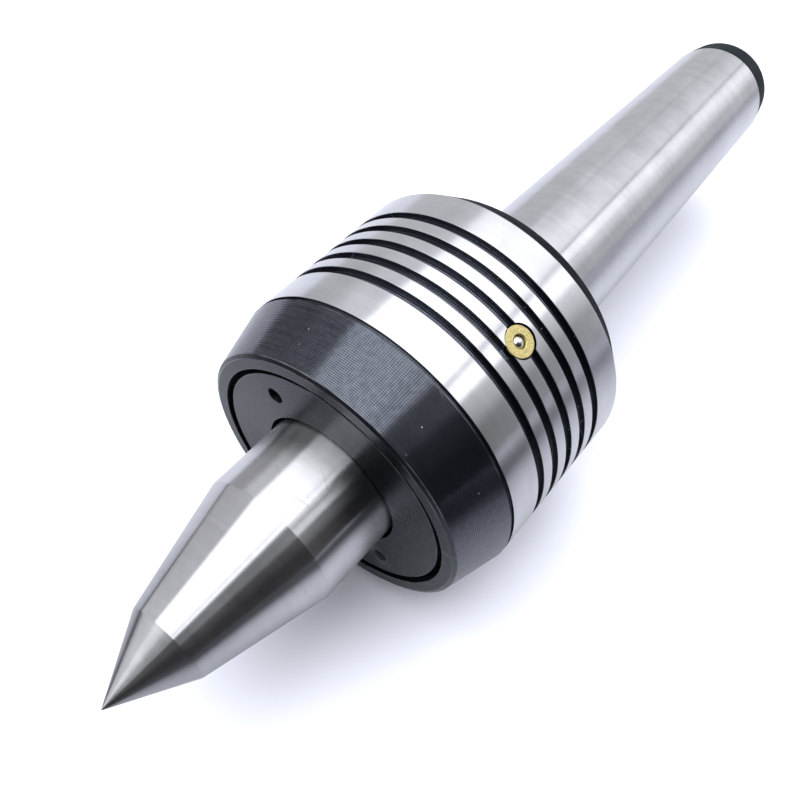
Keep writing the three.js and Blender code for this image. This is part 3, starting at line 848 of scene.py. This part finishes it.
CAGE_ROUND = 120  # facets round a cage
RACE_BORE = 12.8  # radius of the holes of the rings that sit on the journal
FRONT = {"x": -44.1, "half": 5.9, "balls": 10, "r": 3.0, "pitch": 18.0, "inner_land": 15.9,
         "outer_land": 20.1, "outer": 23.3, "groove_gap": 0.33, "pocket": 3.25}
FRONT_CAGE = (-48.4, -39.8, 17.1, 18.9)
THRUST = {"x": -26.0, "half": 5.5, "face": 2.3, "balls": 12, "r": 2.85, "pitch": 16.75,
          "groove_gap": 0.3, "pocket": 3.1, "cage_half": 0.9, "housing_bore": 13.1}
NEEDLE = {"x": 5.0, "half": 6.0, "count": 12, "r": 0.9, "pitch": 8.6, "round": 0.3,
          "slot_end": 0.2, "slot_half": 1.05, "cage_end": 0.8, "cage_inner": 8.2, "cage_outer": 9.1}
NEEDLE_CUP = {"start": -3, "end": 13, "outer": 10.5, "mouth": 8.1, "wall": 0.8}


def cage(node_name, section, reach, cutters, drills=()):
    """A plain ring with a pocket cut for each ball or needle."""
    outline = Outline("cage", section, closed=True).eased(reach)
    piece = turned(node_name + "_fine", outline, CAGE_ROUND)
    subtract(piece, joined("pockets", cutters))
    shade(piece, outline, drills)
    place_piece(piece, node_name, "cage", node_name)


def race_groove(land, below):
    """The front bearing's groove, in the order that its outline runs."""
    radius = FRONT["r"] + FRONT["groove_gap"]
    angle = math.degrees(math.acos(abs(land - FRONT["pitch"]) / radius))
    middle = 270 if below else 90
    return arc(FRONT["x"], FRONT["pitch"], radius, middle - angle, middle + angle, 24)


def front_bearing():
    x0, x1 = FRONT["x"] - FRONT["half"], FRONT["x"] + FRONT["half"]
    inner = [(x0, RACE_BORE), (x0, FRONT["inner_land"])] + race_groove(FRONT["inner_land"], True)
    inner += [(x1, FRONT["inner_land"]), (x1, RACE_BORE)]
    outer = [(x0, FRONT["outer_land"]), (x0, FRONT["outer"]), (x1, FRONT["outer"]), (x1, FRONT["outer_land"])]
    outer += race_groove(FRONT["outer_land"], False)
    simple("front_inner_race", "spindle", Outline("bearing", inner, closed=True), reach=RACE_EASE)
    simple("front_outer_race", "body", Outline("bearing", outer, closed=True), reach=RACE_EASE)
    ways = [outward(360 / FRONT["balls"] * i) for i in range(FRONT["balls"])]
    axes = [(X_WAY * FRONT["x"], way) for way in ways]
    pockets = [drill(start, way, [(12, FRONT["pocket"]), (24, FRONT["pocket"])]) for start, way in axes]
    cage("front_cage", ring(*FRONT_CAGE), 0.2, pockets, axes)
    for number, way in enumerate(ways, start=1):
        ball(f"front_ball_{number:02d}", "front_cage", FRONT["x"], way * FRONT["pitch"], FRONT["r"])


def ball(node_name, body, x, offset, radius):
    """A polished ball, turned about X and moved out to its place."""
    piece = uncut(node_name, Outline("bearing", arc(0, 0, radius, 180, 0, 32)), SMALL_ROUND)
    piece.data.transform(Matrix.Translation((X_WAY * x + offset) * MM))
    place_piece(piece, body, "bearing", node_name)


def thrust_bearing():
    radius = THRUST["r"] + THRUST["groove_gap"]
    half = math.degrees(math.acos(THRUST["face"] / radius))
    x, pitch = THRUST["x"], THRUST["pitch"]
    left, right = x - THRUST["half"], x + THRUST["half"]
    shaft_outer, housing_outer, housing_bore = 20.9, 21.4, THRUST["housing_bore"]
    front = [(left, RACE_BORE), (left, shaft_outer), (x - THRUST["face"], shaft_outer)]
    front += arc(x, pitch, radius, 180 - half, 180 + half, 20) + [(x - THRUST["face"], RACE_BORE)]
    rear = [(x + THRUST["face"], housing_bore)] + arc(x, pitch, radius, -half, half, 20)
    rear += [(x + THRUST["face"], housing_outer), (right, housing_outer), (right, housing_bore)]
    simple("thrust_shaft_washer", "spindle", Outline("bearing", front, closed=True), reach=RACE_EASE)
    simple("thrust_housing_washer", "body", Outline("bearing", rear, closed=True), reach=RACE_EASE)
    cage_half = THRUST["cage_half"]
    offsets = [outward(360 / THRUST["balls"] * i) * pitch for i in range(THRUST["balls"])]
    axes = [(X_WAY * x + offset, X_WAY) for offset in offsets]
    pockets = [drill(start, X_WAY, [(-3, THRUST["pocket"]), (3, THRUST["pocket"])]) for start, _ in axes]
    cage("thrust_cage", ring(x - cage_half, x + cage_half, housing_bore, 20.4), 0.15, pockets, axes)
    for number, offset in enumerate(offsets, start=1):
        ball(f"thrust_ball_{number:02d}", "thrust_cage", x, offset, THRUST["r"])


def disc_springs():
    """Two dished washers back to back, which press the thrust bearing forward."""
    inner, outer, thick = 13.5, 21.2, 1.2
    for name, x, front, back in (("disc_spring_front", -20.2, 0, 0.6), ("disc_spring_rear", -18.1, 0.6, 0)):
        points = [(x + front, inner), (x + back, outer)]
        points += [(x + back + thick, outer), (x + front + thick, inner)]
        simple(name, "body", Outline("spring", points, closed=True), reach=0.25)


def needle_bearing():
    x0, x1, wall = NEEDLE_CUP["start"], NEEDLE_CUP["end"], NEEDLE_CUP["wall"]
    outer, mouth = NEEDLE_CUP["outer"], NEEDLE_CUP["mouth"]
    points = [(x0, mouth), (x0, outer), (x1, outer), (x1, mouth), (x1 - wall, mouth),
              (x1 - wall, outer - wall), (x0 + wall, outer - wall), (x0 + wall, mouth)]
    simple("needle_cup", "body", Outline("bearing", points, closed=True), reach=RACE_EASE)
    x, half = NEEDLE["x"], NEEDLE["half"]
    reach = half + NEEDLE["cage_end"]
    section = ring(x - reach, x + reach, NEEDLE["cage_inner"], NEEDLE["cage_outer"])
    ways = [outward(360 / NEEDLE["count"] * i) for i in range(NEEDLE["count"])]
    slots = []
    for way in ways:
        half_edges = (X_WAY * (half + NEEDLE["slot_end"]), X_WAY.cross(way) * NEEDLE["slot_half"], way * 2)
        slots.append(block(X_WAY * x + way * NEEDLE["pitch"], half_edges))
    cage("needle_cage", section, 0.1, slots)
    for number, way in enumerate(ways, start=1):
        roller(f"needle_{number:02d}", way * NEEDLE["pitch"])


def roller(node_name, offset):
    """A needle with rounded ends."""
    half, r, radius = NEEDLE["half"], NEEDLE["r"], NEEDLE["round"]
    points = [(-half, 0)] + arc(-half + radius, r - radius, radius, 180, 90, 12)
    points += arc(half - radius, r - radius, radius, 90, 0, 12) + [(half, 0)]
    piece = uncut(node_name, Outline("bearing", points), NEEDLE_ROUND)
    piece.data.transform(Matrix.Translation((X_WAY * NEEDLE["x"] + offset) * MM))
    place_piece(piece, "needle_cage", "bearing", node_name)


# ---- ball oiler


def at_oiler(piece):
    """Moves a piece made along X so that X becomes the oiler's own axis."""
    turn = X_WAY.rotation_difference(OILER_WAY).to_matrix().to_4x4()
    piece.data.transform(Matrix.Translation(OILER_FOOT * MM) @ turn)


def oiler_cup():
    """A pressed brass cup. Heights run along the oiler's axis; its lip closes over the ball."""
    low, high, r = OILER_CUP["low"], BALL_OILER["face"], BALL_OILER["r"]
    floor, lip_end = low + OILER_CUP["floor"], high - OILER_CUP["lip_length"]
    inner, port, lip = OILER_CUP["inner"], OILER_CUP["port"], OILER_CUP["lip"]
    points = [(lip_end, inner), (floor, inner), (floor, port), (low, port), (low, r)]
    points += [(high - CHAMFER_DEPTH, r), (high, r - CHAMFER_WIDTH)]
    points += [(high, lip + CHAMFER_WIDTH), (high - CHAMFER_WIDTH, lip), (lip_end, lip)]
    outline = Outline("brass", points, closed=True)
    outline.finishes[points.index((low, r))] = "recess"  # its side, down in the body's hole, takes the black recess finish and darkens the gap round the cup
    piece = uncut("oiler_cup", outline.eased(SMALL_EASE), 128)
    at_oiler(piece)
    place_piece(piece, "body", "brass", "oiler_cup")


def oiler_ball():
    piece = uncut("oiler_ball", Outline("bearing", arc(OILER_BALL["height"], 0, OILER_BALL["r"], 180, 0, 48)))
    at_oiler(piece)
    place_piece(piece, "oiler_ball", "bearing", "oiler_ball")


def oiler_spring():
    """A small helical spring under the ball, which the ball presses as it goes in; it gets a mesh of its own.
    """
    turns, mean, wire, base, top = 2.5, 1.05, 0.2, 27.4, 28.8
    steps, around = 120, 12
    round_wire = [2 * math.pi * j / around for j in range(around)]
    rings = []
    for i in range(steps + 1):
        share = i / steps
        angle = 2 * math.pi * turns * share
        away = Vector((0, math.cos(angle), math.sin(angle)))
        centre = X_WAY * (base + (top - base) * share) + away * mean
        rings.append([centre + (away * math.cos(a) - X_WAY * math.sin(a)) * wire for a in round_wire])
    piece = bent_wire("oiler_spring", rings)
    at_oiler(piece)
    place_piece(piece, "body", "spring", "oiler_spring")
    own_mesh(piece)


# ---- studio

# Plan position of a direction on a ceiling one unit up: along is x / z and across is y / z. Two strip
# lights hang there side by side, with their length along X. A ramp is (from, to, value at
# from, value at to), and a pair of numbers is a ramp from 0 to 1.
LOWEST = 0.02  # a smaller z is taken as this, so that the plan stays finite
HORIZON = (0.03, 0.02)  # where the lights begin above the floor, and half that edge's width
FAR_EDGE = 0.66
NEAR_EDGE = -1.13
FRONT_END = -0.75
EDGE = 0.06  # half the width of a soft edge
FAR_STRIP_END = (0.78, 1.12, 1, 0)
NEAR_STRIP_START = (0.1, 0.75, 0.05, 1)
NEAR_STRIP_END = (0.9, 1.7, 1, 0.15)
STRIP_LIGHT = 2.4  # as the metal shows it
STRIP_LAMP = 4.6  # as it lights the floor
# Dark lines: one lies in the far strip, and one between the strips, in two stretches.
FAR_LINE = (0.35, 1.25, -0.35, 0.52)
BETWEEN_FRONT = (0.25, 0.5, -0.55, -0.76)
BETWEEN_REAR = (0.5, 2.2, 0, 0.4)
LINE_DEPTHS = (0.25, 0.65)
LINE_HALF = 0.035
FRONT_PANEL_LIGHT = 1.0
FRONT_PANEL_SLANT = 0.52
FRONT_PANEL_SIDE = -0.5
FRONT_PANEL_END = -0.14
FAR_SIDE = (-0.5, 0.2)  # the near wall passes into the far one between these, in y
FAR_WALL = (0.33, 0.6, 0.62, 0.8)  # in x, from beside the nose to behind the shank
FAR_WALL_FRONT = (0.05, 0.34, -0.56, 0)  # it darkens towards the point
GLOW = (2.0, 1.2, 0, 0.85)  # on the far wall beside the nose, nearer the strips
GLOW_START = (0.1, 0.3)
GLOW_END = (0.34, 0.6, 1, 0)
NEAR_WALL = (0.36, 0.78, 0.04, 0.85)
BESIDE_STRIP = (-2.8, NEAR_EDGE)
BESIDE_BODY = (0.0, 0.6, 0.02, 0.6)


def either_side(tree, value, edge, width=EDGE):
    """0 below the edge and 1 above it, with a soft step between."""
    return remap(tree, value, edge - width, edge + width, smooth=True)


def mix(tree, share, first, second):
    """A number between two numbers."""
    return node(tree, "ShaderNodeMix", {0: share, 2: first, 3: second}).outputs[0]


def below(tree, value, edge):
    """1 below the edge and 0 above it."""
    return remap(tree, value, edge - EDGE, edge + EDGE, 1, 0, smooth=True)


def studio_light(tree):
    """How bright each direction is: strip lights overhead, pale walls behind, a dark one on the near side."""
    way = node(tree, "ShaderNodeTexCoord").outputs["Generated"]
    x, y, z = node(tree, "ShaderNodeSeparateXYZ", {0: way}).outputs
    height = maths(tree, "MAXIMUM", z, LOWEST)
    above = either_side(tree, z, *HORIZON)
    along = maths(tree, "DIVIDE", x, height)
    across = maths(tree, "DIVIDE", y, height)
    light = mix(tree, front_panel(tree, above, along, across), walls(tree, x, y, across), FRONT_PANEL_LIGHT)
    between = maths(tree, "ADD", remap(tree, along, *BETWEEN_FRONT), remap(tree, along, *BETWEEN_REAR))
    lines = 1.0
    for place, depth in zip((remap(tree, along, *FAR_LINE), between), LINE_DEPTHS):
        off = maths(tree, "ABSOLUTE", maths(tree, "SUBTRACT", across, place))
        lines = product(tree, lines, remap(tree, off, LINE_HALF, 2 * LINE_HALF, 1 - depth, 1, smooth=True))
    seen = node(tree, "ShaderNodeLightPath").outputs["Is Glossy Ray"]
    strip = mix(tree, seen, STRIP_LAMP, STRIP_LIGHT)
    past = maths(tree, "SUBTRACT", across, between)
    ends = product(tree, above, either_side(tree, along, FRONT_END))
    far_strip = product(tree, ends, either_side(tree, past, 0.0), below(tree, across, FAR_EDGE),
                        remap(tree, along, *FAR_STRIP_END))
    light = mix(tree, far_strip, light, strip)
    near_strip = product(tree, ends, either_side(tree, across, NEAR_EDGE), below(tree, past, 0.0),
                         remap(tree, along, *NEAR_STRIP_START), remap(tree, along, *NEAR_STRIP_END))
    return product(tree, mix(tree, near_strip, light, strip), lines)


def walls(tree, x, y, across):
    """The far wall, with a glow beside the nose, and the near one, with a fainter glow along the strip."""
    glow = product(tree, remap(tree, across, *GLOW), remap(tree, x, *GLOW_START), remap(tree, x, *GLOW_END))
    far_wall = maths(tree, "ADD", remap(tree, x, *FAR_WALL, smooth=True),
                     maths(tree, "ADD", glow, remap(tree, x, *FAR_WALL_FRONT)))
    beside = product(tree, remap(tree, across, *BESIDE_STRIP), remap(tree, x, *BESIDE_BODY))
    near_wall = maths(tree, "ADD", remap(tree, x, *NEAR_WALL), beside)
    return mix(tree, remap(tree, y, *FAR_SIDE, smooth=True), near_wall, far_wall)


def front_panel(tree, above, along, across):
    """1 on a slanted panel past the point's end of the strips, and 0 elsewhere."""
    slanted = maths(tree, "MULTIPLY_ADD", along, FRONT_PANEL_SLANT, across)
    side = either_side(tree, slanted, FRONT_PANEL_SIDE)
    return product(tree, above, side, below(tree, along, FRONT_PANEL_END))


STUDIO_COLOUR = (0.97, 0.975, 1.0, 1)
PALE = 0.98  # the background past the floor


def add_world():
    """The studio's light, with a plain pale background where the camera looks past the floor."""
    world = bpy.data.worlds.new("studio")
    world.use_nodes = True
    bpy.context.scene.world = world
    tree = world.node_tree
    tree.nodes.clear()
    light = studio_light(tree)
    studio = node(tree, "ShaderNodeBackground", {"Color": STUDIO_COLOUR, "Strength": light})
    pale = node(tree, "ShaderNodeBackground", {"Color": (1, 1, 1, 1), "Strength": PALE})
    seen = node(tree, "ShaderNodeLightPath").outputs["Is Camera Ray"]
    mixed = node(tree, "ShaderNodeMixShader", {0: seen, 1: studio.outputs[0], 2: pale.outputs[0]})
    node(tree, "ShaderNodeOutputWorld", {0: mixed.outputs[0]})


FLOOR_HALF = 3.0  # metres
FLOOR_SEEN = (0.73, 0.745, 0.82, 1)
FLOOR_REFLECTED = (0.50, 0.51, 0.55, 1)
# Painted shade and a painted dark reflection: what the metal reflects of the floor darkens to this past the
# nose and on the near side.
FLOOR_PAINTED_SHADE = (0.03, 0.03, 0.035, 1)
LIT_FROM_X = (-0.20, -0.03)  # metres
LIT_FROM_Y = (-0.19, -0.03)
NEAR_SIDE_LEAST = (0.03, 0.2, 0.04, 0.5)


def add_floor():
    """A pale floor under the body. What the metal reflects of it is painted darker past the nose and on the
    near side:
    painted shade and a painted dark reflection, which stand in for the shadow round the nose and for the
    floor's end."""
    half, z = FLOOR_HALF, -BODY_R * MM
    mesh = bpy.data.meshes.new("floor")
    corners = [(-half, -half, z), (half, -half, z), (half, half, z), (-half, half, z)]
    mesh.from_pydata(corners, [], [[0, 1, 2, 3]])
    made, tree, shader, turning = material("floor")
    # painted shade: the reflected floor darkens towards -X past the nose and towards -Y on the near side
    near_side = remap(tree, turning.y, *LIT_FROM_Y, smooth=True)
    least = remap(tree, turning.x, *NEAR_SIDE_LEAST)
    lit = product(tree, remap(tree, turning.x, *LIT_FROM_X, smooth=True), mix(tree, near_side, least, 1.0))
    reflected = blend(tree, lit, FLOOR_PAINTED_SHADE, FLOOR_REFLECTED)
    seen = node(tree, "ShaderNodeLightPath").outputs["Is Camera Ray"]
    colour = blend(tree, seen, reflected, FLOOR_SEEN)
    set_shader(tree, shader, Base_Color=colour, Roughness=0.9, Specular_IOR_Level=0.1)
    mesh.materials.append(made)
    floor = add_object("floor", mesh)


LAMP_PLACE = Vector((-0.15, 0.45, 0.6))  # metres
LAMP_AIM = Vector((-0.03, 0, 0))


def add_fill_lamp():
    """A broad lamp from the far side, which puts the soft shadow on the near side."""
    lamp = bpy.data.lights.new("far_lamp", "AREA")
    lamp.size = 0.5
    lamp.energy = 0.5
    lamp.color = (1.0, 0.99, 0.97)
    made = add_object("far_lamp", lamp)
    made.location = LAMP_PLACE
    made.rotation_euler = (LAMP_AIM - LAMP_PLACE).to_track_quat("-Z", "Y").to_euler()
    made.visible_glossy = False


bpy.context.scene.view_settings.view_transform = "Standard"
add_camera()
body_shank()
cover_nut()
front_seal()
spindle()
retaining_ring()
spacer_sleeve()
front_bearing()
thrust_bearing()
disc_springs()
needle_bearing()
oiler_cup()
oiler_ball()
oiler_spring()
add_world()
add_floor()
add_fill_lamp()
